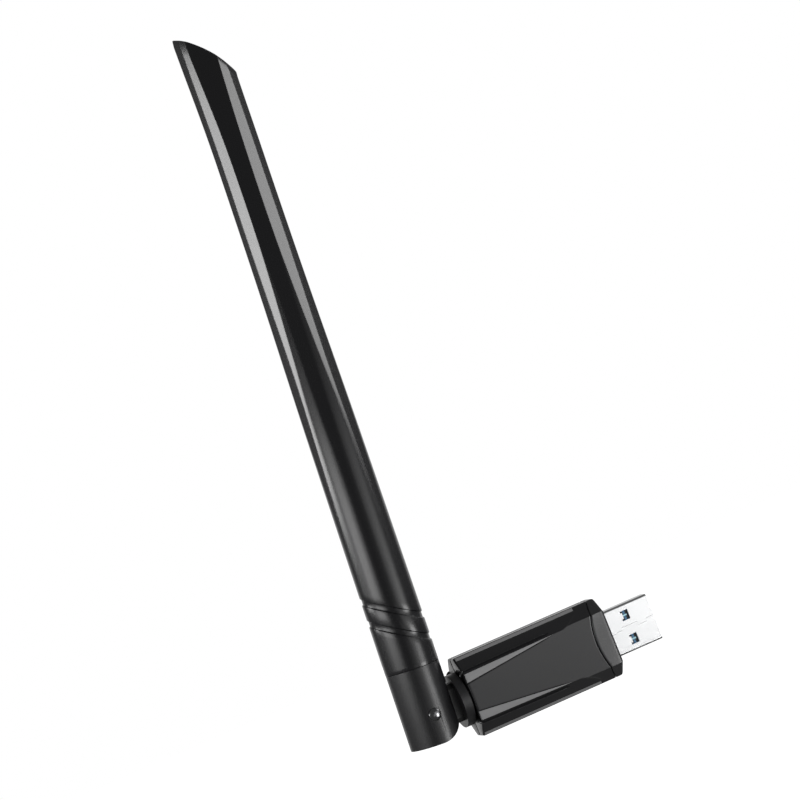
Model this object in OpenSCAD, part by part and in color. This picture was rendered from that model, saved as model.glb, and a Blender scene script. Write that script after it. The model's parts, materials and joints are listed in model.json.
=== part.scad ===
// USB wireless adapter: a faceted housing with a USB-A plug, a swivel knuckle and a folding antenna.
// Millimetres. The origin is on the plug's axis, where the plug leaves the end cap.
// +X points out of the plug, +Z is across the housing, and the front faces -Y.
// The knuckle turns about the plug's axis. The antenna folds about a pin along Y.

/* [Housing] */
// Length of the housing along the plug's axis
body_len = 39.6; // [38:0.2:44]
// Width of the housing, from one side wall to the other
body_w = 20.5; // [20:0.5:23]
// Thickness of the housing, from the front face to the back face
body_t = 13.6; // [13.2:0.2:15]
// Wall thickness of the two covers
wall = 1.3; // [1:0.1:1.5]
// Half the width of the flat band along the front and the back
band_half = 6.4; // [6:0.1:7]
// Half the height of each side wall
side_half = 2.5; // [2:0.1:3]
// Depth by which the long sloping facets are sunk
scoop = 0.25; // [0.1:0.05:0.35]
// Half the width of the centre panel at the hinge end
panel_half = 3.15; // [2.5:0.05:4]
// Length over which the centre panel widens to the whole band
panel_len = 25; // [20:1:28]
// Height of the step along the centre panel's edges
panel_step = 0.35; // [0.2:0.05:0.5]
// Radius of the curved seam between the covers and the end cap
seam_r = 21; // [18:1:30]
// Distance of the seam's middle from the cap's outer face
seam_back = 4.9; // [4:0.1:5.5]

/* [Plug] */
// Width of the plug's shell
plug_w = 12.0; // [12:0.1:12.1]
// Height of the plug's shell
plug_h = 4.5; // [4.4:0.1:4.5]
// Length of the plug that stands out of the end cap
plug_out = 13.2; // [11.75:0.05:14]
// Sheet thickness of the plug's shell
sheet = 0.3; // [0.25:0.05:0.35]

/* [Knuckle] */
// Diameter of the swivel disk
disk_d = 13.7; // [13:0.1:14]
// Thickness of the swivel disk
disk_t = 2.2; // [1.8:0.1:2.4]
// Gap between the swivel disk and the housing
disk_gap = 0.5; // [0.4:0.05:0.8]
// Distance from the disk's outer face to the hinge pin
pin_reach = 7.7; // [7.7:0.1:9]
// Height of the knuckle's tongue
tongue_h = 9.8; // [9:0.1:10]
// Thickness of the knuckle's tongue
tongue_t = 6.0; // [5.6:0.1:6.2]
// Radial clearance of the shafts that turn in their bores
running = 0.05; // [0.02:0.01:0.08]

/* [Antenna] */
// Diameter of the collar
collar_d = 13.7; // [13.4:0.1:14]
// Height of the seam between collar and tube above the hinge pin
seam_up = 12.0; // [11:0.5:14]
// Height of the antenna's tip above the hinge pin
tip_up = 177.6; // [174:0.2:190]
// Diameter of the tube at the seam
tube_base_d = 13.8; // [13.6:0.1:14]
// Diameter of the round tube at its waist, before its facets are cut
tube_waist_d = 12.0; // [11.6:0.1:12.4]
// Diameter of the round tube at the tip, before its facets are cut
tube_tip_d = 12.9; // [12.4:0.1:13.2]
// Radius of the curved slanting tip
tip_r = 30; // [26:1:36]
// Slope of the tip at its highest edge, in degrees
tip_slope = 27; // [20:1:32]
// Lean of the antenna towards the housing from square, in degrees
antenna_lean = 3.4; // [0:0.1:4]
// Turn of the tube about its own axis in the collar, in degrees
blade_turn = -15.5; // [-20:0.5:20]
// Width of each slanting groove, measured along the tube
groove_w = 1.6; // [1.2:0.1:2]
// Depth of each slanting groove
groove_deep = 0.3; // [0.2:0.05:0.5]

/* [Hidden] */
$fn = 96;
far = 400;                       // reach of a cutting block, larger than the whole object

// Housing
edge_drop = 0.5;                 // chamfer around the two ends
bevel_y = 0.8;                   // thin bevel beside each side wall, along Y
bevel_z = 0.5;                   // and along Z
scoop_end = -9.9;                // the sunk facets stop here
seam_gap = 0.12;                 // open line between the cap and the covers
seam_x = seam_r - seam_back;     // centre of the curved seam
tenon_back = -7.0;               // rear end of the cap's tenon
tenon_play = 0.05;
wedge_shallow = 0.1;             // depth of the long tapering facets at the band's edge
wedge_tilt = atan((panel_step - wedge_shallow) / (band_half - panel_half));
end_wall = 2.0;                  // wall that carries the swivel
wall_in = -body_len + end_wall;  // its inner face
post_r = 0.8;
post_x = [-31.5, -10.5];
post_z = 6.2;

// Circuit board
board_x = [-34.5, -7.1];
board_z = 7.4;                   // half width
board_y = [-1.05, -0.05];        // front and back surfaces
notch_x = -31.0;                 // the coax lies in a notch at the hinge end
notch_z = 1.2;
can_x = [-28.5, -14];
can_z = 5.0;
can_top = -3.05;
can_sheet = 0.2;
chip_size = 7;
chip_h = 0.9;

// Plug
shell_back = -6.8;
corner_r = 0.6;
window = [2.1, 2.5];             // along the plug and across it
window_x = 6.15;
window_z = 3.13;
contact_y = [-0.05, 0.10];       // contact strips lie on the insulator and on the board

// Knuckle
disk_r = disk_d / 2;
disk_x = -body_len - disk_gap - disk_t;     // the disk's outer face
pin_x = disk_x - pin_reach;                 // the hinge pin's axis
neck_r = 2.85;
neck_end = -36.0;
clip_x = [-37.4, -36.9];         // groove for the retaining clip
clip_neck_r = 2.2;
clip_r = 4.2;
washer_r = 4.5;
washer_play = 0.05;
tongue_bevel = 1.2;
coax_r = 0.65;
coax_hole_r = 1.0;

// Antenna
collar_r = collar_d / 2;
pin_r = 1.2;
head_r = 1.5;
head_sink = 0.4;                 // depth of the pocket around a pin's head
head_ring = 0.15;                // open ring around a pin's head
pin_inner = 0.9;                 // the two pins stop short of each other, and the coax passes between
ear_gap = 0.35;                  // washer space between tongue and ear
slot_half = tongue_t / 2 + ear_gap;
slot_back = -5.3;
slot_top = 6.15;
arc_r = 7.4;                     // the collar's lower corner is round about the pin
collar_low = -arc_r;
spigot_r = 4.6;
spigot_play = 0.03;
spigot_top = 18;
bore_step = 96;                  // the tube's bore narrows here
bore_r = 3.3;
bore_end = 160;
groove_at = [27.5, 21.9];        // middle of each groove above the pin
groove_slope = 29;
// Radius of the round tube at heights above the pin. It has a waist below the tip.
tube_profile = [[seam_up, tube_base_d / 2], [35, 6.8], [74, 6.58], [90, 6.39], [106, 6.18],
                [124, 6.04], [145, tube_waist_d / 2], [158, 6.08], [167, 6.22],
                [tip_up, tube_tip_d / 2]];
// Facets that shape the blade: [direction from the front, [height, distance from the axis] points]
front_facet = [[66, 6.64], [180, 4.67]];
chamfer_facet = [[62, 6.68], [78, 6.5], [93, 6.12], [109, 5.72], [127, 5.38], [142, 5.22],
                 [153, 5.24], [162, 5.4], [172, 5.62], [180, 5.82]];
side_facet = [[50, 6.76], [76, 6.33], [91, 6.0], [107, 5.74], [125, 5.52], [140, 5.37],
              [151, 5.37], [160, 5.48], [170, 5.66], [181, 5.86]];
facets = [[0, front_facet], [46, chamfer_facet], [-46, chamfer_facet], [60, side_facet], [-60, side_facet]];
strip_z = [62, 150];             // circuit strip of the antenna
strip_half = 2.3;
strip_y = 0.4;
arm_z = [[64, 88], [90, 146]];
arm_half = 1.5;
arm_t = 0.1;
sleeve_z = [66, 84, 140];
sleeve_len = 8;

// Radius of the round tube at a height above the pin
function tube_r(z) = lookup(z, tube_profile);

// One quarter of the housing's outline, in Y and Z, from the band to the side wall
function quarter(inset, sunk) = [
    [body_t / 2 - inset, band_half - 0.4 * inset - 1.4 * sunk],
    [side_half + bevel_y - 0.4 * inset - 1.4 * sunk, body_w / 2 - bevel_z - inset],
    [side_half - 0.4 * inset, body_w / 2 - inset]];
function flip(points) = [for (i = [len(points) - 1 : -1 : 0]) points[i]];
function outline(inset, sunk) = let (q = quarter(inset, sunk)) concat(
    q,
    [for (p = flip(q)) [-p[0], p[1]]],
    [for (p = q) [-p[0], -p[1]]],
    [for (p = flip(q)) [p[0], -p[1]]]);

// The outline drawn out along X
module prism_x(from, to, inset, sunk)
    translate([from, 0, 0])
        rotate([90, 0, 90])
            linear_extrude(to - from)
                polygon(outline(inset, sunk));

// A cylinder along X, from one end to the other
module rod_x(from, to, r)
    translate([from, 0, 0])
        rotate([0, 90, 0])
            cylinder(h = to - from, r = r);

// A cylinder along Y, from one end to the other
module rod_y(from, to, r)
    translate([0, from, 0])
        rotate([-90, 0, 0])
            cylinder(h = to - from, r = r);

// A block from its lowest corner to its highest corner
module block(low, high)
    translate(low)
        cube(high - low);

// Side profile of the housing with its end corners cut, as points in X and height
function end_cut(half) = [
    [-body_len, -half + edge_drop], [-body_len + edge_drop, -half],
    [-edge_drop, -half], [0, -half + edge_drop],
    [0, half - edge_drop], [-edge_drop, half],
    [-body_len + edge_drop, half], [-body_len, half - edge_drop]];

// One long tapering facet beside the centre panel, cut below the front band
module wedge_cut()
    translate([-body_len, wedge_shallow - body_t / 2, band_half])
        rotate([wedge_tilt, 0, 0])
            rotate([90, 0, 0])
                linear_extrude(panel_step + wedge_shallow)
                    polygon([[-1, 1], [-1, panel_half - band_half], [0, panel_half - band_half],
                             [panel_len, 0], [panel_len, 1]]);

// The whole housing as one solid
module housing_solid()
    difference() {
        intersection() {
            union() {
                prism_x(-body_len, scoop_end, 0, scoop);
                prism_x(scoop_end, 0, 0, 0);
            }
            rotate([90, 0, 0])
                linear_extrude(2 * body_t, center = true)
                    polygon(end_cut(body_w / 2));
            linear_extrude(2 * body_w, center = true)
                polygon(end_cut(body_t / 2));
        }
        for (side = [0, 1])
            for (face = [0, 1])
                mirror([0, 0, side])
                    mirror([0, face, 0])
                        wedge_cut();
    }

// What the curved seam encloses, grown or shrunk by a gap
module cap_zone(gap)
    translate([seam_x, 0, 0])
        rod_y(-body_t, body_t, seam_r - gap);

// Outline of the plug, drawn out along X
module plug_bar(from, to, inset)
    translate([from, 0, 0])
        rotate([90, 0, 90])
            linear_extrude(to - from)
                rounded(plug_h - 2 * inset, plug_w - 2 * inset, corner_r - inset);

module rounded(w, h, r)
    union() {
        square([w - 2 * r, h], center = true);
        square([w, h - 2 * r], center = true);
        for (sx = [-1, 1])
            for (sy = [-1, 1])
                translate([sx * (w / 2 - r), sy * (h / 2 - r)])
                    circle(r, $fn = 32);
    }

// A cover: half of the housing, hollow, with posts that hold the board.
// The front cover lies on the -Y side, and board_face is the surface that its posts reach.
module cover(is_front, board_face)
    difference() {
        union() {
            difference() {
                housing_solid();
                prism_x(wall_in, 1, wall, 0);
            }
            for (x = post_x)
                for (z = [-post_z, post_z])
                    translate([x, 0, z])
                        rod_y(is_front ? wall - body_t / 2 - 0.2 : board_face,
                              is_front ? board_face : body_t / 2 - wall + 0.2, post_r);
        }
        cap_zone(0);
        rod_x(-body_len - 1, wall_in + 1, neck_r + running);
        if (is_front)
            block([-far, 0, -far], [far, far, far]);
        else
            block([-far, -far, -far], [far, 0, far]);
    }

module front_cover()
    color([0.10, 0.10, 0.11])
        cover(true, board_y[0]);

module back_cover()
    color([0.10, 0.10, 0.11])
        cover(false, board_y[1]);

module end_cap()
    color([0.14, 0.14, 0.15])
        difference() {
            union() {
                intersection() {
                    housing_solid();
                    cap_zone(seam_gap);
                }
                prism_x(tenon_back, -seam_back + 1, wall + tenon_play, 0);
            }
            plug_bar(tenon_back - 1, 1, 0);
        }

module windows()
    for (z = [-window_z, window_z])
        translate([window_x, 0, z])
            cube([window[0], 2 * plug_h, window[1]], center = true);

module usb_shell()
    color([0.86, 0.87, 0.88])
        difference() {
            plug_bar(shell_back, plug_out, 0);
            plug_bar(shell_back - 1, plug_out + 1, sheet);
            windows();
        }

// The insulator fills the front half of the shell and has a pocket under each window.
module usb_insulator()
    color([0.35, 0.65, 0.95])
        difference() {
            block([shell_back + 0.2, -plug_h / 2 + sheet, -plug_w / 2 + sheet + 0.3],
                  [plug_out - 0.6, contact_y[0], plug_w / 2 - sheet - 0.3]);
            for (z = [-window_z, window_z])
                for (side = [-1, 1])
                    translate([window_x + side * 0.65, -plug_h / 2 + sheet, z])
                        cube([0.75, 1.4, 2.3], center = true);
        }

module usb_rear_block()
    color([0.12, 0.12, 0.14])
        block([shell_back + 0.2, contact_y[1], -plug_w / 2 + sheet + 0.3],
              [-0.6, plug_h / 2 - sheet, plug_w / 2 - sheet - 0.3]);

// Four long strips that reach from the plug's mouth to the board
module usb_contacts()
    color([0.90, 0.74, 0.36])
        for (z = [-3.5, -1.0, 1.0, 3.5])
            block([-9.0, contact_y[0], z - 0.5], [plug_out - 1.4, contact_y[1], z + 0.5]);

// Five narrow strips between and beside the long ones, with raised spring ends
module usb3_contacts()
    color([0.90, 0.74, 0.36])
        for (z = [-4.6, -2.25, 0, 2.25, 4.6]) {
            block([-9.0, contact_y[0], z - 0.3], [4.2, contact_y[1], z + 0.3]);
            block([2.4, contact_y[1], z - 0.3], [3.8, contact_y[1] + 0.45, z + 0.3]);
        }

module circuit_board()
    color([0.05, 0.30, 0.16])
        difference() {
            block([board_x[0], board_y[0], -board_z], [board_x[1], board_y[1], board_z]);
            block([board_x[0] - 1, -far, -notch_z], [notch_x, far, notch_z]);
        }

module shield_can()
    color([0.75, 0.76, 0.78])
        difference() {
            block([can_x[0], can_top, -can_z], [can_x[1], board_y[0], can_z]);
            block([can_x[0] + can_sheet, can_top + can_sheet, -can_z + can_sheet],
                  [can_x[1] - can_sheet, board_y[0] + 1, can_z - can_sheet]);
        }

module radio_chip()
    color([0.08, 0.08, 0.08])
        translate([(can_x[0] + can_x[1]) / 2, board_y[0] - chip_h / 2, 0])
            cube([chip_size, chip_h, chip_size], center = true);

module thermal_pad()
    color([0.55, 0.60, 0.66])
        block([can_x[0] + 1.5, wall - body_t / 2 + 0.05, -can_z + 1], [can_x[1] - 1.5, can_top, can_z - 1]);

module crystal()
    color([0.80, 0.80, 0.80])
        block([-28, board_y[1], 2.6], [-24.8, board_y[1] + 0.8, 5.1]);

module inductor()
    color([0.20, 0.20, 0.21])
        difference() {
            block([-16, board_y[1], -5.2], [-12, board_y[1] + 2, -1.2]);
            translate([-14, 0, -3.2])
                rod_y(board_y[1] + 1.6, board_y[1] + 3, 1.5);
        }

module regulator()
    color([0.10, 0.10, 0.10])
        block([-22, board_y[1], -5], [-19, board_y[1] + 1.1, -3.4]);

// Small ceramic capacitors and resistors in two rows
module capacitors()
    color([0.62, 0.52, 0.40])
        for (row = [0, 1])
            for (i = [0 : 4])
                translate([-22.5 + 2.4 * i, board_y[1], 1.2 + 2.2 * row])
                    cube([1.0, 0.5, 0.5]);

// Metal clip that holds the coax's braid across the notch
module coax_terminal()
    color([0.82, 0.70, 0.35])
        difference() {
            block([-33.6, board_y[0] - 0.5, -2.0], [-31.6, board_y[0], 2.0]);
            rod_x(-40, -30, coax_r);
        }

module coax_lead()
    color([0.12, 0.12, 0.12])
        rod_x(neck_end + 0.3, notch_x - 0.2, coax_r);

// The swivel disk, the neck that turns in the housing, and the tongue that carries the pin
module knuckle()
    color([0.11, 0.11, 0.12])
        difference() {
            union() {
                rod_x(disk_x, disk_x + disk_t, disk_r);
                rod_x(disk_x + 0.5, clip_x[0], neck_r);
                rod_x(clip_x[0] - 0.5, clip_x[1] + 0.5, clip_neck_r);
                rod_x(clip_x[1], neck_end, neck_r);
                translate([pin_x, 0, 0])
                    rod_y(-tongue_t / 2, tongue_t / 2, tongue_h / 2);
                translate([pin_x, 0, 0])
                    rotate([90, 0, 90])
                        linear_extrude(pin_reach + 0.5)
                            polygon(tongue_outline());
            }
            translate([pin_x, 0, 0])
                rod_y(-tongue_t, tongue_t, pin_r + running);
            rod_x(pin_x, 0, coax_hole_r);
            block([pin_x - tongue_h, -coax_hole_r, -coax_hole_r],
                  [pin_x + coax_hole_r, coax_hole_r, tongue_h]);
        }

// The tongue's section, with its long edges bevelled towards the disk
function tongue_outline() = let (y = tongue_t / 2, z = tongue_h / 2, b = tongue_bevel) [
    [y, z - b], [y - b, z], [b - y, z], [-y, z - b], [-y, b - z], [b - y, -z], [y - b, -z], [y, b - z]];

module swivel_clip()
    color([0.70, 0.70, 0.72])
        difference() {
            rod_x(clip_x[0] + 0.05, clip_x[1] - 0.05, clip_r);
            rod_x(clip_x[0] - 1, clip_x[1] + 1, clip_neck_r + 0.02);
            block([clip_x[0] - 1, -clip_neck_r + 0.4, 0], [clip_x[1] + 1, clip_neck_r - 0.4, 2 * clip_r]);
        }

module swivel_washer()
    color([0.16, 0.16, 0.16])
        difference() {
            rod_x(disk_x + disk_t, -body_len - washer_play, washer_r);
            rod_x(disk_x, 0, neck_r);
        }

module coax_in_knuckle()
    color([0.12, 0.12, 0.12])
        rod_x(pin_x + 0.7, neck_end - 0.3, coax_r);

// The antenna's own frame: its origin is on the pin, and Z runs along the tube
module on_pin()
    translate([pin_x, 0, 0])
        rotate([0, antenna_lean, 0])
            children();

module collar()
    color([0.12, 0.12, 0.13])
        on_pin()
            difference() {
                union() {
                    translate([0, 0, collar_low])
                        cylinder(h = seam_up - collar_low, r = collar_r);
                    cylinder(h = spigot_top, r = spigot_r - spigot_play);
                }
                // slot for the tongue, open towards the housing and at the bottom
                block([slot_back, -slot_half, collar_low - 1], [2 * collar_r, slot_half, slot_top]);
                // lower corner, round about the pin
                difference() {
                    block([0, -far, -far], [far, far, 0]);
                    rod_y(-far - 1, far + 1, arc_r);
                }
                rod_y(-far, far, pin_r);
                for (side = [0, 1])
                    mirror([0, side, 0])
                        rod_y(-far, head_sink - collar_r, head_r + head_ring);
                cylinder(h = far, r = coax_hole_r);
            }

// One pin, on the -Y side: a shaft and a domed head
module one_pin()
    union() {
        rod_y(-collar_r + head_sink, -pin_inner, pin_r);
        intersection() {
            rod_y(-collar_r - 1, -collar_r + head_sink, head_r);
            translate([0, -collar_r - 0.25 + 2 * head_r, 0])
                sphere(2 * head_r);
        }
    }

module hinge_pins()
    color([0.15, 0.15, 0.16])
        on_pin()
            for (side = [0, 1])
                mirror([0, side, 0])
                    one_pin();

// Thin washers between the tongue and the collar's two ears
module hinge_washers()
    color([0.45, 0.45, 0.47])
        on_pin()
            for (side = [0, 1])
                mirror([0, side, 0])
                    difference() {
                        rod_y(-slot_half, -tongue_t / 2 - running, 2.6);
                        rod_y(-slot_half - 1, 0, pin_r);
                    }

// Everything beyond one facet of the blade, along the facet's profile
module beyond_facet(turn, profile)
    rotate([0, 0, turn])
        rotate([90, 0, 90])
            linear_extrude(4 * collar_r, center = true)
                polygon(concat([for (p = profile) [-p[1], p[0]]],
                               [[-far, profile[len(profile) - 1][0]], [-far, profile[0][0]]]));

// A slanting ring that is cut into the tube
module groove(z)
    difference() {
        translate([0, 0, z])
            rotate([0, groove_slope, 0])
                cube([4 * collar_r, 4 * collar_r, groove_w * cos(groove_slope)], center = true);
        cylinder(h = far, r = tube_r(z) - groove_deep);
    }

module antenna_tube()
    color([0.07, 0.07, 0.08])
        on_pin()
            rotate([0, 0, blade_turn])
                difference() {
                    intersection() {
                        rotate_extrude()
                            polygon(concat([[0, seam_up]], [for (p = tube_profile) [p[1], p[0]]], [[0, tip_up]]));
                        union() {
                            block([-far, -far, 0], [far, far, tip_up - 25]);
                            translate([-tube_tip_d / 2 - tip_r * sin(tip_slope), 0, tip_up - tip_r * cos(tip_slope)])
                                rod_y(-far, far, tip_r);
                        }
                    }
                    for (face = [0, 180])
                        for (facet = facets)
                            beyond_facet(face + facet[0], facet[1]);
                    for (z = groove_at)
                        groove(z);
                    cylinder(h = bore_step, r = spigot_r);
                    cylinder(h = bore_end, r = bore_r);
                }

module coax_feed()
    color([0.12, 0.12, 0.12])
        on_pin()
            translate([0, 0, coax_hole_r])
                cylinder(h = strip_z[0] - 0.2 - coax_hole_r, r = coax_r);

module antenna_board()
    color([0.10, 0.32, 0.20])
        on_pin()
            block([-strip_half, -strip_y, strip_z[0]], [strip_half, strip_y, strip_z[1]]);

module dipole_arms()
    color([0.80, 0.50, 0.28])
        on_pin()
            for (z = arm_z)
                block([-arm_half, -strip_y - arm_t, z[0]], [arm_half, -strip_y, z[1]]);

// Foam rings that keep the circuit strip in the middle of the tube
module foam_sleeves()
    color([0.75, 0.75, 0.72])
        on_pin()
            for (z = sleeve_z)
                translate([0, 0, z])
                    difference() {
                        cylinder(h = sleeve_len, r = z < bore_step ? spigot_r : bore_r);
                        block([-strip_half, -strip_y - arm_t, -1], [strip_half, strip_y, sleeve_len + 1]);
                    }

front_cover();
back_cover();
end_cap();
usb_shell();
usb_insulator();
usb_rear_block();
usb_contacts();
usb3_contacts();
circuit_board();
shield_can();
radio_chip();
thermal_pad();
crystal();
inductor();
regulator();
capacitors();
coax_terminal();
coax_lead();
knuckle();
swivel_clip();
swivel_washer();
coax_in_knuckle();
collar();
hinge_pins();
hinge_washers();
antenna_tube();
coax_feed();
antenna_board();
dipole_arms();
foam_sleeves();
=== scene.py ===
import json
import math

import bmesh
import bpy
import numpy as np
from mathutils import Matrix, Vector


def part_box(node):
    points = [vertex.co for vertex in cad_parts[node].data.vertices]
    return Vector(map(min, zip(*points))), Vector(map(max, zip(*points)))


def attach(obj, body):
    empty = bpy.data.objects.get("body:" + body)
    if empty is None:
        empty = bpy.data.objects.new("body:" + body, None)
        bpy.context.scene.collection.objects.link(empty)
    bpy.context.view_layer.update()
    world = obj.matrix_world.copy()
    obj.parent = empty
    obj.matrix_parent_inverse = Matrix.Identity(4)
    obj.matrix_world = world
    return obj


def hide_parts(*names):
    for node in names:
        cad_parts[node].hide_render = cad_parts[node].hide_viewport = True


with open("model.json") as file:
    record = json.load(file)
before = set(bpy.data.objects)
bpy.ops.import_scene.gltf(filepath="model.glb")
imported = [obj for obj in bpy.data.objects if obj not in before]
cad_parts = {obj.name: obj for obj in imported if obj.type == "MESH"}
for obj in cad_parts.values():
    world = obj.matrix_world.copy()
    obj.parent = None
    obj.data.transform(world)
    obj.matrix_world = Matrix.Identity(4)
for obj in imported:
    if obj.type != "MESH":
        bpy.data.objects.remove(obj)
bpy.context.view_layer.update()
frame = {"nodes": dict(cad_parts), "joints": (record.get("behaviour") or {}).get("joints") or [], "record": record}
MM = 0.001


# ---------------------------------------------------------------- places, all from the frame, in millimetres
def node_box(name):
    low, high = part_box(name)
    return np.array(low) / MM, np.array(high) / MM


front_low, front_high = node_box("front_cover")
plug_high = node_box("usb_shell")[1]
joints = {j["name"]: j for j in frame["joints"]}
PIN_X = joints["antenna_tilt"]["pos_m"][0] / MM
LEAN = math.radians(joints["antenna_tilt"]["range_deg"][1] - 90)
BODY_BACK = front_low[0]                    # the housing's hinge end
HALF_T = -front_low[1]                      # half the housing's thickness
HALF_W = front_high[2]                      # half its width


# ---------------------------------------------------------------- camera, at the photograph's angle
def aim_camera(yaw, rise, roll, focal, distance, target):
    """A camera that looks along +Y, moved round to the hinge side by yaw, raised and rolled. In degrees."""
    yaw, rise, roll = (math.radians(a) for a in (yaw, rise, roll))
    ahead = Vector((math.sin(yaw) * math.cos(rise), math.cos(yaw) * math.cos(rise), -math.sin(rise)))
    level = Vector((math.cos(yaw), -math.sin(yaw), 0))
    upright = level.cross(ahead)
    right = level * math.cos(roll) + upright * math.sin(roll)
    up = upright * math.cos(roll) - level * math.sin(roll)
    camera = bpy.data.objects.new("camera", bpy.data.cameras.new("camera"))
    camera.data.sensor_width = 36
    camera.data.lens = focal
    place = Vector(target) * MM - ahead * distance * MM
    camera.matrix_world = Matrix((
        (right.x, up.x, -ahead.x, place.x),
        (right.y, up.y, -ahead.y, place.y),
        (right.z, up.z, -ahead.z, place.z),
        (0, 0, 0, 1)))
    camera.data.clip_start, camera.data.clip_end = 0.01, 20
    bpy.context.scene.collection.objects.link(camera)
    bpy.context.scene.camera = camera


CAMERA_YAW = 15.5
aim_camera(yaw=CAMERA_YAW, rise=0.4, roll=-21.97, focal=132.37, distance=730.0, target=(-26.55, 0, 74.23))


# ---------------------------------------------------------------- materials
def new_material(name):
    material = bpy.data.materials.new(name)
    material.use_nodes = True
    nodes = material.node_tree.nodes
    return material, nodes, material.node_tree.links, nodes["Principled BSDF"]


def noise_node(nodes, links, coords, scale, detail=3.0):
    noise = nodes.new("ShaderNodeTexNoise")
    noise.inputs["Scale"].default_value = scale
    noise.inputs["Detail"].default_value = detail
    links.new(coords, noise.inputs["Vector"])
    return noise.outputs["Fac"]


def spread(nodes, links, value, low, high):
    """A noise between 0.3 and 0.7 stretched to run from low to high."""
    stretch = nodes.new("ShaderNodeMapRange")
    stretch.inputs["From Min"].default_value = 0.3
    stretch.inputs["From Max"].default_value = 0.7
    stretch.inputs["To Min"].default_value = low
    stretch.inputs["To Max"].default_value = high
    links.new(value, stretch.inputs["Value"])
    return stretch.outputs["Result"]


def plastic(name, colour, roughness, grain=0.03, grain_size=0.25, level=0.5, cloud=0.12, coat=0.0):
    """Moulded plastic: a fine grain in the surface and in its gloss, and slow clouds of tone variation."""
    material, nodes, links, shader = new_material(name)
    coords = nodes.new("ShaderNodeTexCoord").outputs["Object"]
    clouds = noise_node(nodes, links, coords, 90)
    fine = noise_node(nodes, links, coords, 1 / (grain_size * MM), 4)
    mix = nodes.new("ShaderNodeMix")
    mix.data_type = "RGBA"
    mix.inputs["A"].default_value = (*[c * (1 - cloud) for c in colour], 1)
    mix.inputs["B"].default_value = (*[c * (1 + cloud) for c in colour], 1)
    links.new(clouds, mix.inputs["Factor"])
    links.new(mix.outputs["Result"], shader.inputs["Base Color"])
    links.new(spread(nodes, links, fine, roughness * 0.9, roughness * 1.1), shader.inputs["Roughness"])
    bump = nodes.new("ShaderNodeBump")
    bump.inputs["Strength"].default_value = grain
    bump.inputs["Distance"].default_value = 0.02 * MM
    links.new(fine, bump.inputs["Height"])
    links.new(bump.outputs["Normal"], shader.inputs["Normal"])
    shader.inputs["Specular IOR Level"].default_value = level
    shader.inputs["Coat Weight"].default_value = coat
    return material


def metal(name, colour, roughness, stretch=(1, 1, 1), grain=0.05, size=0.2):
    """Plated sheet: drawn lines or fine grain in roughness and bump."""
    material, nodes, links, shader = new_material(name)
    coords = nodes.new("ShaderNodeTexCoord").outputs["Object"]
    mapping = nodes.new("ShaderNodeMapping")
    mapping.inputs["Scale"].default_value = stretch
    links.new(coords, mapping.inputs["Vector"])
    lines = noise_node(nodes, links, mapping.outputs["Vector"], 1 / (size * MM), 3)
    mix = nodes.new("ShaderNodeMix")
    mix.data_type = "RGBA"
    mix.inputs["A"].default_value = (*[c * 0.95 for c in colour], 1)
    mix.inputs["B"].default_value = (*[min(1, c * 1.03) for c in colour], 1)
    links.new(lines, mix.inputs["Factor"])
    links.new(mix.outputs["Result"], shader.inputs["Base Color"])
    links.new(spread(nodes, links, lines, roughness * 0.85, roughness * 1.15), shader.inputs["Roughness"])
    bump = nodes.new("ShaderNodeBump")
    bump.inputs["Strength"].default_value = grain
    bump.inputs["Distance"].default_value = 0.01 * MM
    links.new(lines, bump.inputs["Height"])
    links.new(bump.outputs["Normal"], shader.inputs["Normal"])
    shader.inputs["Metallic"].default_value = 1.0
    return material


MATERIALS = {
    "housing_black": plastic("housing_black", (0.012, 0.012, 0.013), 0.22, grain=0.01),
    # painted sheen: a lighter, rougher copy of the housing's black for the wedges and the bevels beside the side
    # walls
    "housing_painted_sheen": plastic("housing_painted_sheen", (0.24, 0.24, 0.243), 0.4, grain=0.01),
    "cap_black": plastic("cap_black", (0.02, 0.02, 0.021), 0.26, grain=0.01),
    "knuckle_black": plastic("knuckle_black", (0.012, 0.012, 0.013), 0.35),
    "collar_black": plastic("collar_black", (0.012, 0.012, 0.013), 0.3, grain=0.01),
    "tube_black": plastic("tube_black", (0.006, 0.006, 0.007), 0.25, grain=0.005),
    "pin_black": metal("pin_black", (0.16, 0.16, 0.165), 0.2, grain=0.01),
    "washer_black": plastic("washer_black", (0.008, 0.008, 0.008), 0.6),
    "chip_black": plastic("chip_black", (0.02, 0.02, 0.02), 0.5, grain=0.1),
    "coax_black": plastic("coax_black", (0.02, 0.02, 0.02), 0.4),
    "plug_blue": plastic("plug_blue", (0.03, 0.16, 0.32), 0.35),
    # painted highlight: a pale copy of the insulator's blue, standing in for the glare on its rib
    "rib_blue_painted_glare": plastic("rib_blue_painted_glare", (0.45, 0.78, 0.88), 0.35),
    "seam_grey": metal("seam_grey", (0.30, 0.30, 0.31), 0.45),
    "board_green": plastic("board_green", (0.02, 0.16, 0.07), 0.3, coat=0.3),
    "pad_grey": plastic("pad_grey", (0.40, 0.46, 0.52), 0.7, grain=0.1),
    "capacitor_tan": plastic("capacitor_tan", (0.42, 0.30, 0.18), 0.5),
    "foam_grey": plastic("foam_grey", (0.50, 0.50, 0.47), 0.9, grain=0.5, grain_size=0.6),
    "plug_steel": metal("plug_steel", (0.63, 0.635, 0.64), 0.22, stretch=(0.08, 1, 1)),
    "can_steel": metal("can_steel", (0.68, 0.69, 0.70), 0.3),
    "contact_gold": metal("contact_gold", (0.90, 0.66, 0.28), 0.2),
    "arm_copper": metal("arm_copper", (0.80, 0.42, 0.22), 0.3),
}

for part in frame["record"]["subparts"]:
    mesh = frame["nodes"][part["node"]].data
    mesh.materials.clear()
    mesh.materials.append(MATERIALS[part["material_slot"]])


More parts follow.
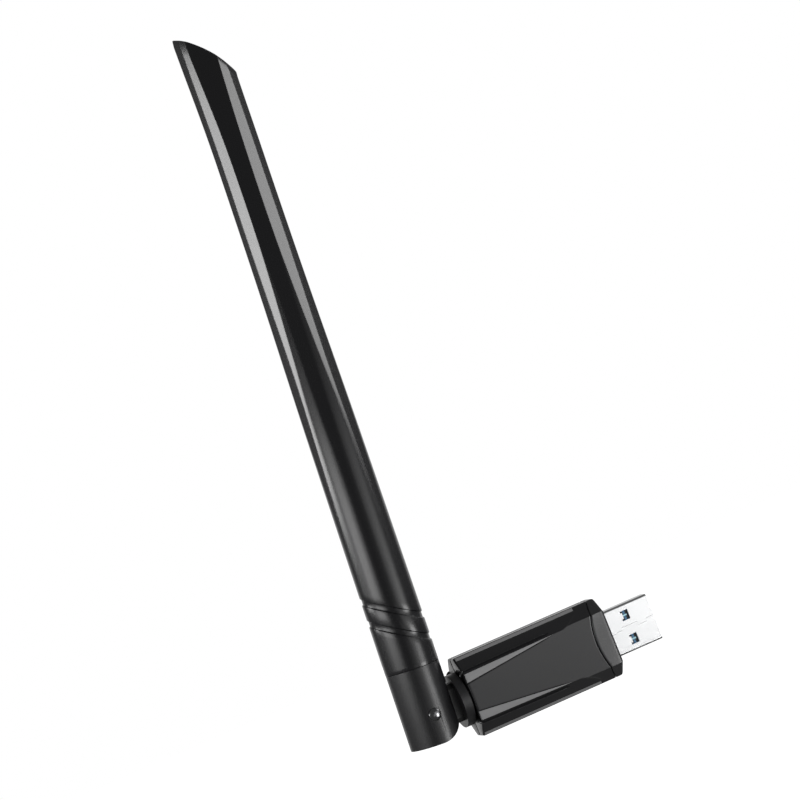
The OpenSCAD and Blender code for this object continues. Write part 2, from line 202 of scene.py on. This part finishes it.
# ---------------------------------------------------------------- mesh helpers
def add_piece(name, points, faces, slot, body, replaces=(), sharp=math.radians(35)):
    """A mesh from points in millimetres. It rides on a body and stands for the CAD nodes in replaces."""
    mesh = bpy.data.meshes.new(name)
    mesh.from_pydata([tuple(float(c) * MM for c in p) for p in points], [], faces)
    mesh.materials.append(MATERIALS[slot])
    piece = bpy.data.objects.new(name, mesh)
    bpy.context.scene.collection.objects.link(piece)
    finish_mesh(piece, sharp)
    settle(piece, body, replaces)
    return piece


def finish_mesh(piece, sharp):
    shape = bmesh.new()
    shape.from_mesh(piece.data)
    bmesh.ops.remove_doubles(shape, verts=shape.verts, dist=0.002 * MM)
    bmesh.ops.dissolve_degenerate(shape, edges=shape.edges, dist=0.001 * MM)
    bmesh.ops.recalc_face_normals(shape, faces=shape.faces)
    shape.to_mesh(piece.data)
    shape.free()
    piece.data.shade_smooth()
    piece.data.set_sharp_from_angle(angle=sharp)


def settle(piece, body, replaces):
    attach(piece, body)
    if replaces:
        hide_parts(*replaces)


def grid_faces(rows, columns, closed):
    """Quads between rows of points that all have the same number of columns."""
    faces = []
    for r in range(rows - 1):
        for c in range(columns if closed else columns - 1):
            d = (c + 1) % columns
            a = r * columns
            faces.append((a + c, a + d, a + columns + d, a + columns + c))
    return faces


def rounded_line(points, radii, steps=4):
    """A polyline whose corners are replaced by arcs with the given radii."""
    out = [points[0]]
    for before, corner, after, radius in zip(points, points[1:], points[2:], radii[1:]):
        to_before, to_after = before - corner, after - corner
        reach = min(np.linalg.norm(to_before), np.linalg.norm(to_after)) * 0.48
        to_before = to_before / max(np.linalg.norm(to_before), 1e-9)
        to_after = to_after / max(np.linalg.norm(to_after), 1e-9)
        cosine = float(np.clip(to_before @ to_after, -1, 1))
        half = math.acos(cosine) / 2
        trim = min(radius / max(math.tan(half), 1e-6), reach) if half > 1e-3 else reach
        trim = min(max(trim, 1e-4), reach)
        first, last = corner + to_before * trim, corner + to_after * trim
        for i in range(steps + 1):
            t = i / steps
            out.append(first * (1 - t) ** 2 + corner * 2 * t * (1 - t) + last * t ** 2)
    out.append(points[-1])
    return out


def smooth(t):
    t = np.clip(t, 0.0, 1.0)
    return t * t * (3 - 2 * t)


# ---------------------------------------------------------------- antenna tube
SEAM_UP, TIP_UP = 12.0, 177.6                 # foot and tip, above the pin along the tube
TIP_HALF = 6.45                               # half the width at the tip
TIP_R, TIP_SLOPE = 30.0, math.radians(27)     # curve of the slanting tip
BLADE_TURN = math.radians(-15.5)              # the blade is turned about its own axis
TIP_SWEEP = 0.3                               # the blade's tip bends this far away from the housing
# radius of the round tube, and distances of the facets from its axis, at heights above the pin
ROUND = ((12, 6.9), (35, 6.8), (74, 6.58), (90, 6.39), (106, 6.18), (124, 6.04), (145, 6.0), (158, 6.08),
         (167, 6.22), (177.6, 6.45))
FRONT = ((0, 7.79), (66, 6.64), (180, 4.67))
CHAMFER = ((12, 7.6), (46, 6.95), (62, 6.68), (78, 6.5), (93, 6.12), (109, 5.72), (127, 5.38), (142, 5.22),
           (153, 5.24), (162, 5.4), (172, 5.62), (180, 5.82))
SIDE = ((12, 7.5), (30, 7.2), (50, 6.76), (76, 6.33), (91, 6.0), (107, 5.74), (125, 5.52), (140, 5.37),
        (151, 5.37), (160, 5.48), (170, 5.66), (181, 5.86))
FACETS = [(face + turn, line) for face in (0, 180)
          for turn, line in ((0, FRONT), (46, CHAMFER), (-46, CHAMFER), (60, SIDE), (-60, SIDE))]
EDGE_POWER = 160.0                            # the higher, the crisper the edges between facets
GROOVES, GROOVE_W, GROOVE_DEEP = (27.5, 21.9), 1.6, 0.3
GROOVE_TAN = math.tan(math.radians(29))       # slant of the grooves


def curve(points, z):
    """A smooth curve through points, read at z."""
    xs = [q[0] for q in points]
    k = min(max(int(np.searchsorted(xs, z)) - 1, 0), len(points) - 2)
    (x0, y0), (x1, y1) = points[k], points[k + 1]
    before = points[k - 1] if k else points[k]
    after = points[k + 2] if k + 2 < len(points) else points[k + 1]
    m0 = (y1 - before[1]) / (x1 - before[0])
    m1 = (after[1] - y0) / (after[0] - x0)
    t, w = (z - x0) / (x1 - x0), x1 - x0
    return ((2 * t ** 3 - 3 * t ** 2 + 1) * y0 + (t ** 3 - 2 * t ** 2 + t) * w * m0
            + (3 * t ** 2 - 2 * t ** 3) * y1 + (t ** 3 - t ** 2) * w * m1)


def tube_r(angle, z):
    """Radius of the tube. The angle is 0 at the front. The facets meet in softly rounded edges."""
    total = curve(ROUND, z) ** -EDGE_POWER
    for turn, line in FACETS:
        facing = math.cos(angle - math.radians(turn))
        if facing > 0.3:
            total += (facing / curve(line, z)) ** EDGE_POWER
    return total ** (-1 / EDGE_POWER)


def tip_z(x):
    """Height of the slanting, curved tip."""
    middle_x = -TIP_HALF - TIP_R * math.sin(TIP_SLOPE)
    middle_z = TIP_UP - TIP_R * math.cos(TIP_SLOPE)
    return middle_z + math.sqrt(TIP_R ** 2 - (x - middle_x) ** 2)


def tube_point(angle, z, inset=0.0):
    r = tube_r(angle, z) - inset
    return r * math.sin(angle), -r * math.cos(angle)


def from_tube(x, y, z):
    """From the tube's own frame to the object's: swept at the tip, turned, and leaned about the pin."""
    x -= TIP_SWEEP * float(smooth((z - 145) / 30))
    xt = x * math.cos(BLADE_TURN) - y * math.sin(BLADE_TURN)
    yt = x * math.sin(BLADE_TURN) + y * math.cos(BLADE_TURN)
    return (PIN_X + xt * math.cos(LEAN) + z * math.sin(LEAN), yt, z * math.cos(LEAN) - xt * math.sin(LEAN))


TUBE_COLUMNS = 288
TUBE_LIP = 0.22                               # rounded lip at the seam
# profile of a groove's wall, as (distance into the groove, depth)
GROOVE_WALL = ((-0.22, 0), (-0.1, 0.02), (-0.02, 0.1), (0.02, 0.2), (0.1, 0.28), (0.22, 0.3))
SLANT_FROM, SLANT_END = 13, 52                # the rows slant with the grooves between these heights
SLANT_IN, SLANT_OUT = 5, 16                   # lengths over which the slant comes in and dies away
TIP_STRETCH_FROM, TIP_STRETCH_TO = 140, 163.2  # above the first height, the rows stretch to meet the tip
RIM_R = 0.5                                   # rounding between the side and the slanting face
RIM_HEIGHT = 171                              # height whose section the rim follows
RIM_DROP, RIM_HALF = 0.55, 6.2                # where the last row stops below the tip, and its half-width


def build_tube():
    columns = TUBE_COLUMNS
    angles = [2 * math.pi * (i + 0.5) / columns for i in range(columns)]
    heights = [(SEAM_UP + 0.02, 0.35), (SEAM_UP + 0.03, 0.14), (SEAM_UP + 0.08, 0.05),
               (SEAM_UP + TUBE_LIP, 0.0)]
    heights += [(z, 0.0) for z in np.arange(13, 17.5, 0.75)]
    for middle in sorted(GROOVES):
        for side in (-1, 1):
            edge = middle + side * GROOVE_W / 2
            for off, deep in GROOVE_WALL:
                heights.append((edge - side * off, deep))
        heights.append((middle, GROOVE_DEEP))
    heights += [(z, 0.0) for z in (19.5, 24.7, 30, 33)]
    heights += [(z, 0.0) for z in np.arange(36, 164, 1.6)]
    heights.sort(key=lambda h: h[0])
    rows = []
    for z, deep in heights:
        slant = smooth((z - SLANT_FROM) / SLANT_IN) * smooth((SLANT_END - z) / SLANT_OUT)
        row = []
        for a in angles:
            x0 = 6.8 * math.sin(a)
            zz = z - x0 * GROOVE_TAN * float(slant)
            if z > TIP_STRETCH_FROM:
                top = tip_z(RIM_HALF * math.sin(a)) - RIM_DROP
                share = (z - TIP_STRETCH_FROM) / (TIP_STRETCH_TO - TIP_STRETCH_FROM)
                zz = TIP_STRETCH_FROM + share * (top - TIP_STRETCH_FROM)
            x, y = tube_point(a, zz, deep)
            row.append(from_tube(x, y, zz))
        rows.append(row)
    # rounded rim, then the slanting face in rings
    for step in (0.25, 0.5, 0.75, 1.0):
        turn = step * math.pi / 2
        row = []
        for a in angles:
            x, y = tube_point(a, RIM_HEIGHT, RIM_R * (1 - math.cos(turn)))
            row.append(from_tube(x, y, tip_z(x) - RIM_R * (1 - math.sin(turn))))
        rows.append(row)
    for share in (0.8, 0.6, 0.4, 0.2, 0.02):
        row = []
        for a in angles:
            x, y = tube_point(a, RIM_HEIGHT, RIM_R)
            row.append(from_tube(x * share, y * share, tip_z(x * share)))
        rows.append(row)
    points = [p for row in rows for p in row]
    faces = grid_faces(len(rows), columns, True)
    faces.append(tuple(range(len(points) - columns, len(points))))
    faces.append(tuple(range(columns)))
    add_piece("antenna_tube_skin", points, faces, "tube_black", "antenna", ["antenna_tube"])


build_tube()


# ---------------------------------------------------------------- housing
BODY_LEN = -BODY_BACK
SIDE_HALF = 2.5
SEAM_R, SEAM_BACK = 21.0, 4.9
PANEL_LEN = 25.0
STEP_DEEP, WEDGE_SHALLOW, STEP_WIDE = 0.35, 0.1, 0.3
WEDGE_TAPER = 3                               # the wedge fades out over this length
WEDGE_FULL = 2.3                              # its width at the hinge end
WEDGE_EDGE, WEDGE_POINT = 3.73, 6.36          # half-widths of its inner edge at the two ends
SLOPE_STEPS = 9                               # points across the sloping facet
SECTION_STEP = 0.1


def seam_from_back(z):
    """Distance of the curved seam from the hinge end."""
    return BODY_LEN + SEAM_R - SEAM_BACK - np.sqrt(SEAM_R ** 2 - z ** 2)


def half_section(h):
    """The front's outline at a distance h from the hinge end, as (height, depth), top to middle."""
    def rise(share):
        """0 on the sunk part of the sloping facet and 1 past its curved end."""
        end = 28.6 + 5.0 * (1 - (1 - share) ** 1.6)
        width = 2.4 - 1.6 * share
        return float(smooth((h - end) / width + 0.5))

    grow = min(h / PANEL_LEN, 1)
    low_sunk = np.array([6.0 + 0.4 * grow, HALF_T])
    low_full = np.array([6.85, HALF_T])
    top_sunk = np.array([HALF_W - 0.85, SIDE_HALF + 1.0])
    top_full = np.array([HALF_W - 0.35, SIDE_HALF + 0.55])
    corners = [np.array([HALF_W, 0.0]), np.array([HALF_W, SIDE_HALF])]
    radii = [0, 0.14]
    bevel_end = np.array([HALF_W - 0.14, SIDE_HALF + 0.2])
    corners += [bevel_end]
    radii += [0.05]
    for share in np.linspace(1, 0, SLOPE_STEPS):
        lifted = rise(float(share))
        sunk = low_sunk + (top_sunk - low_sunk) * share
        full = low_full + (top_full - low_full) * share
        corners.append(sunk + (full - sunk) * lifted)
        radii.append(0.1 if share in (0.0, 1.0) else 0.05)
    tip = min(max((PANEL_LEN - h) / WEDGE_TAPER, 0), 1)
    edge = WEDGE_EDGE + (WEDGE_POINT - WEDGE_EDGE) * grow
    width = max(low_sunk[0] - edge, 0)
    deep = (WEDGE_SHALLOW + (STEP_DEEP - WEDGE_SHALLOW) * width / WEDGE_FULL) * tip
    corners.append(np.array([corners[-1][0] - 0.02, HALF_T - WEDGE_SHALLOW * tip]))
    corners.append(np.array([edge, HALF_T - deep]))
    corners.append(np.array([edge - STEP_WIDE * tip * 0.9 - 0.02, HALF_T]))
    corners.append(np.array([0, HALF_T]))
    radii += [0.02, 0.03, 0.05, 0]
    return corners, radii


def divided(line):
    """More points on the side wall, the first stretch of the line, and on the flat front, the last one."""
    wall = [line[0] + (line[1] - line[0]) * t for t in np.linspace(0, 1, 4)[:-1]]
    flat = [line[-2] + (line[-1] - line[-2]) * t for t in np.linspace(0, 1, 15)[1:]]
    return wall + line[1:-1] + flat


def section_table():
    """Rounded outlines at even steps along the housing, from the upper parting edge to the lower one."""
    table = []
    for h in np.arange(0, BODY_LEN + SECTION_STEP, SECTION_STEP):
        corners, radii = half_section(h)
        half = divided(rounded_line(corners, radii))
        table.append(half + [np.array([-q[0], q[1]]) for q in reversed(half[:-1])])
    return np.array(table)


SECTIONS = section_table()
COLUMNS = SECTIONS.shape[1]


def row_at(place, inset, near=0.0):
    """A row across the front. place(z) gives its distance from the hinge end. near is a rough guess of it."""
    look = min(int(near / SECTION_STEP), len(SECTIONS) - 1)
    h = place(SECTIONS[look][:, 0])
    index = np.clip(h / SECTION_STEP, 0, len(SECTIONS) - 1.001)
    low = index.astype(int)
    part = (index - low)[:, None]
    columns = np.arange(COLUMNS)
    flat = SECTIONS[low, columns] * (1 - part) + SECTIONS[low + 1, columns] * part
    z = flat[:, 0] * (1 - inset / HALF_W)
    y = flat[:, 1] * (1 - inset / HALF_T)
    return [(float(a), float(b), float(c)) for a, b, c in zip(h, y, z)]


def even(h):
    return lambda z: np.full(len(z), h)


def outward(piece, inside):
    """Turn the faces so that they look away from a point inside."""
    total = 0.0
    for face in piece.data.polygons:
        total += face.area * face.normal.dot(face.center - Vector(inside) * MM)
    if total < 0:
        piece.data.flip_normals()


NECK_HOLE = 3.0                               # radius of the opening for the knuckle's neck
PARTING = 0.03                                # half the gap between the covers
WALL = 1.0


def build_cover(name, node, facing):
    """Half of the housing. facing is -1 for the front cover and 1 for the back cover."""
    last = BODY_LEN - SEAM_BACK
    rows = []
    for h, inset in ((0.0, 0.42), (0.04, 0.26), (0.12, 0.12), (0.25, 0.03), (0.42, 0.0)):
        rows.append(row_at(even(h), inset))
    for h in np.arange(0.8, PANEL_LEN, 0.6):
        rows.append(row_at(even(h), 0, h))
    for share in np.linspace(0, 1, 76):
        def bent(z, s=share):
            return PANEL_LEN + s * (seam_from_back(z) - 0.2 - PANEL_LEN)
        rows.append(row_at(bent, 0, 30))
    for back, inset in ((0.12, 0.03), (0.05, 0.09), (0.0, 0.2), (0.0, 1.2)):
        rows.append(row_at(lambda z, b=back: seam_from_back(z) - b, inset, last))
    mouth = []
    for _, y, z in rows[0]:
        far = math.hypot(y, z)
        mouth.append((0.0, NECK_HOLE * y / far, NECK_HOLE * z / far))
    rows.insert(0, mouth)
    points = []
    for row in rows:
        for h, y, z in row:
            points.append((BODY_BACK + h, facing * max(y, PARTING), z))
    piece = add_piece(name, points, grid_faces(len(rows), COLUMNS, False), "housing_black", "housing", [node])
    outward(piece, (-20, 0, 0))
    # painted sheen on the wedges and the side bevels
    paint_sheen(piece)
    shell = piece.modifiers.new("wall", "SOLIDIFY")
    shell.thickness = WALL * MM
    shell.offset = -1


def paint_sheen(piece):
    """Give the wedges and the bevels beside the side walls a painted sheen: a lighter grey that stands in for the
    light they catch.
    """
    piece.data.materials.append(MATERIALS["housing_painted_sheen"])
    for face in piece.data.polygons:
        c, n = face.center / MM, face.normal    # n is the way the face looks
        h, z, y = c.x - BODY_BACK, abs(c.z), abs(c.y)
        grow = min(h / PANEL_LEN, 1)
        inner, outer = WEDGE_EDGE + (WEDGE_POINT - WEDGE_EDGE) * grow, 6.0 + 0.4 * grow
        flat_lying = 0.015 < abs(n.z) < 0.25 and abs(n.x) < 0.3
        on_wedge = h < PANEL_LEN and inner < z < outer and y > HALF_T - 0.6 and flat_lying
        along = SIDE_HALF + 0.2 < y < SIDE_HALF + 1.0 and z > HALF_W - 0.9 and 0.4 < h < 33.2
        if on_wedge or along:
            face.material_index = 1


build_cover("front_cover_skin", "front_cover", -1)
build_cover("back_cover_skin", "back_cover", 1)


PLUG_PLAY, MOUTH_DEEP = 0.06, 3.0             # clearance round the plug, and how deep its mouth goes


def build_cap():
    """The end cap: from the curved seam to the flat end, with the plug's mouth."""
    rows = []

    def ring(place, inset, near, lower=0.0):
        front_half = row_at(place, inset, near)
        dipped = [(h, y - lower * min(y / HALF_T, 1), z) for h, y, z in front_half]
        back_half = [(h, -y, z) for h, y, z in reversed(dipped[1:-1])]
        return [(BODY_BACK + h, -y, z) for h, y, z in dipped + back_half]

    base = BODY_LEN - 0.6
    gap = 0.12                                  # open joint between the covers and the cap
    dip = 0.22                                  # how far the cap's front drops towards its end
    for on, inset in ((gap, 1.6), (gap, 0.26), (gap + 0.03, 0.14), (gap + 0.1, 0.05), (gap + 0.22, 0.0)):
        rows.append(ring(lambda z, o=on: seam_from_back(z) + o, inset, base))
    for share in np.linspace(0.1, 1, 9):
        def across(z, s=share):
            start = seam_from_back(z) + 0.34
            return start + s * (BODY_LEN - 0.7 - start)
        rows.append(ring(across, 0.0, base, dip * share))
    for on, inset in ((0.42, 0.07), (0.2, 0.2), (0.06, 0.38), (0.0, 0.6)):
        rows.append(ring(lambda z, o=on: np.full(len(z), BODY_LEN - o), inset, base, dip))
    mouth = []
    half_z, half_y = plug_high[2] + PLUG_PLAY, plug_high[1] + PLUG_PLAY
    for x, y, z in rows[-1]:
        scale = 1 / max(abs(z) / half_z, abs(y) / half_y)
        mouth.append((0.0, y * scale, z * scale))
    rows.append(mouth)
    rows.append([(-MOUTH_DEEP, y, z) for x, y, z in mouth])
    columns = len(rows[0])
    points = [q for row in rows for q in row]
    faces = grid_faces(len(rows), columns, True)
    add_piece("end_cap_skin", points, faces, "cap_black", "housing", ["end_cap"])


build_cap()


# ---------------------------------------------------------------- CAD pieces with softened edges
def softened(node, slot, body, width):
    """A copy of a CAD node whose hard edges are rounded off."""
    piece = bpy.data.objects.new(node + "_soft", frame["nodes"][node].data.copy())
    bpy.context.scene.collection.objects.link(piece)
    shape = bmesh.new()
    shape.from_mesh(piece.data)
    bmesh.ops.remove_doubles(shape, verts=shape.verts, dist=0.001 * MM)
    bmesh.ops.dissolve_limit(shape, angle_limit=math.radians(0.5), verts=shape.verts, edges=shape.edges)
    bmesh.ops.recalc_face_normals(shape, faces=shape.faces)
    shape.to_mesh(piece.data)
    shape.free()
    piece.data.materials.clear()
    piece.data.materials.append(MATERIALS[slot])
    piece.data.shade_smooth()
    bevel = piece.modifiers.new("edges", "BEVEL")
    bevel.width = width * MM
    bevel.segments = 3
    bevel.limit_method = "ANGLE"
    bevel.angle_limit = math.radians(28)
    evened = piece.modifiers.new("evened", "WEIGHTED_NORMAL")
    evened.keep_sharp = True
    settle(piece, body, [node])


softened("collar", "collar_black", "antenna", 0.16)
softened("knuckle", "knuckle_black", "swivel", 0.14)
softened("hinge_pins", "pin_black", "antenna", 0.05)
softened("usb_shell", "plug_steel", "housing", 0.04)


# ---------------------------------------------------------------- small details of the plug
def box_mesh(boxes):
    """Points and faces of boxes given as (low corner, high corner)."""
    points, faces = [], []
    for low, high in boxes:
        k = len(points)
        points += [(x, y, z) for x in (low[0], high[0]) for y in (low[1], high[1]) for z in (low[2], high[2])]
        faces += [tuple(k + i for i in f) for f in ((0, 1, 3, 2), (4, 6, 7, 5), (0, 4, 5, 1), (2, 3, 7, 6),
                                                     (0, 2, 6, 4), (1, 5, 7, 3))]
    return points, faces


WINDOW_X, WINDOW_Z, WINDOW_HALF_X, WINDOW_HALF_Z = 6.15, 3.13, 1.05, 1.25
PLUG_Y = plug_high[1]


def window_boxes(x_from, x_to, z_half, y_out, y_in):
    """A box in each of the plug's four windows, between two depths from the plug's middle."""
    boxes = []
    for side in (-1, 1):
        for middle in (-WINDOW_Z, WINDOW_Z):
            ys = sorted((side * y_out, side * y_in))
            boxes.append(((WINDOW_X + x_from, ys[0], middle - z_half),
                          (WINDOW_X + x_to, ys[1], middle + z_half)))
    return boxes


def build_windows():
    wide, tall = WINDOW_HALF_X + 0.1, WINDOW_HALF_Z + 0.1
    # A black box deep in each window: painted shade that stands for the dark hollow behind the window.
    add_piece("window_painted_shade", *box_mesh(window_boxes(-wide, wide, tall, PLUG_Y - 0.42, PLUG_Y - 0.48)),
              "washer_black", "housing")
    tongue_boxes = window_boxes(-1.1, -0.55, 0.8, PLUG_Y - 0.02, PLUG_Y - 0.3)
    tongue = add_piece("window_tongues", *box_mesh(tongue_boxes), "plug_steel", "housing")
    rib_boxes = window_boxes(-0.7, 0.6, 0.2, PLUG_Y - 0.22, PLUG_Y - 0.41)
    ribs = add_piece("window_ribs", *box_mesh(rib_boxes), "plug_blue", "housing")
    # The rib and its blue are the insulator's own; the paleness is painted glare.
    ribs.data.materials[0] = MATERIALS["rib_blue_painted_glare"]
    for piece in (tongue, ribs):
        bevel = piece.modifiers.new("edges", "BEVEL")
        bevel.width, bevel.segments = 0.05 * MM, 2


def build_shell_seam():
    """The dovetailed joint of the rolled shell, as a thin inlay that stands a hair's breadth proud."""
    path = [(0.0, 0.5), (0.9, 0.5), (0.9, -0.4), (2.2, -0.4), (2.4, -0.15), (4.0, -0.15), (4.2, 0.5),
            (8.5, 0.5), (8.7, -0.4), (10.9, -0.4), (11.1, 0.4), (13.15, 0.4)]
    wide, proud, sunk = 0.05, 0.004, 0.05
    boxes = []
    for (x0, z0), (x1, z1) in zip(path, path[1:]):
        boxes.append(((min(x0, x1) - wide, -PLUG_Y - proud, min(z0, z1) - wide),
                      (max(x0, x1) + (wide if x1 < 13 else 0), -PLUG_Y + sunk, max(z0, z1) + wide)))
    seam = [box for box in boxes if min(box[1][0] - box[0][0], box[1][2] - box[0][2]) < 3 * wide]
    inlay = add_piece("shell_seam", *box_mesh(seam), "plug_steel", "housing")
    inlay.data.materials[0] = MATERIALS["seam_grey"]


build_windows()
build_shell_seam()


# ---------------------------------------------------------------- stage and light
def build_floor():
    size, drop = 4.0, 0.35                      # metres
    mesh = bpy.data.meshes.new("floor")
    mesh.from_pydata([(-size, -size, -drop), (size, -size, -drop), (size, size, -drop), (-size, size, -drop)],
                     [], [(0, 1, 2, 3)])
    floor = bpy.data.objects.new("floor", mesh)
    material, nodes, links, shader = new_material("floor_white")
    coords = nodes.new("ShaderNodeTexCoord").outputs["Object"]
    tone = nodes.new("ShaderNodeMix")
    tone.data_type = "RGBA"
    tone.inputs["A"].default_value = (0.86, 0.86, 0.86, 1)
    tone.inputs["B"].default_value = (0.92, 0.92, 0.92, 1)
    links.new(noise_node(nodes, links, coords, 3), tone.inputs["Factor"])
    links.new(tone.outputs["Result"], shader.inputs["Base Color"])
    shader.inputs["Roughness"].default_value = 0.9
    shader.inputs["Emission Color"].default_value = (1, 1, 1, 1)
    shader.inputs["Emission Strength"].default_value = 1.0
    mesh.materials.append(material)
    bpy.context.scene.collection.objects.link(floor)
    floor.visible_glossy = False
    floor.visible_diffuse = False


build_floor()


def soft_box(name, place, target, width, height, radiance):
    """A plain soft area light with a given radiance. Places are in millimetres."""
    light = bpy.data.lights.new(name, "AREA")
    light.shape = "RECTANGLE"
    light.size, light.size_y = width * MM, height * MM
    light.energy = radiance * math.pi * width * height * MM * MM
    lamp = bpy.data.objects.new(name, light)
    lamp.location = Vector(place) * MM
    aim = (Vector(target) - Vector(place)).normalized()
    lamp.rotation_euler = aim.to_track_quat("-Z", "Y").to_euler()
    lamp.visible_camera = False
    bpy.context.scene.collection.objects.link(lamp)


MIDDLE_X = -45                                # the lights are placed round this point


def around(angle, distance, height):
    """A place round the object. The angle is counted from the camera's side, and is positive to the right."""
    turn = math.radians(angle - CAMERA_YAW)
    return (MIDDLE_X + distance * math.sin(turn), -distance * math.cos(turn), height)


def strip(name, angle, low, high, width, radiance, distance=340):
    """An upright light between two heights."""
    height = (low + high) / 2
    place = around(angle, distance, height)
    soft_box(name, place, (MIDDLE_X, 0, height), width, high - low, radiance)


strip("blade_left", -92, 66, 230, 150, 10.0)
strip("blade_right", 92, 66, 230, 150, 6.2)
strip("barrel_left_wide", -50, 18, 92, 380, 2.6)
strip("barrel_left", -48, 20, 88, 190, 3.6)
strip("barrel_right_wide", 50, -34, 70, 270, 1.0)
strip("barrel_right", 50, -34, 66, 150, 0.9)
strip("collar_right", 54, -520, -98, 300, 9.5, 800)
strip("panel_front", 27, -190, -24, 280, 0.65, 500)
strip("low_left", -52, -190, -24, 700, 0.1, 500)
strip("rear", 180, -200, 300, 900, 0.6, 500)

world = bpy.data.worlds.new("studio")
bpy.context.scene.world = world
world.use_nodes = True
nodes, links = world.node_tree.nodes, world.node_tree.links
path = nodes.new("ShaderNodeLightPath")
blend = nodes.new("ShaderNodeMixShader")
seen = nodes.new("ShaderNodeBackground")
seen.inputs["Strength"].default_value = 1.0
seen.inputs["Color"].default_value = (1, 1, 1, 1)
ambient = nodes["Background"]
ambient.inputs["Color"].default_value = (1, 1, 1, 1)
ambient.inputs["Strength"].default_value = 0.17
links.new(path.outputs["Is Camera Ray"], blend.inputs["Fac"])
links.new(ambient.outputs["Background"], blend.inputs[1])
links.new(seen.outputs["Background"], blend.inputs[2])
links.new(blend.outputs["Shader"], nodes["World Output"].inputs["Surface"])
bpy.context.scene.view_settings.view_transform = "Standard"
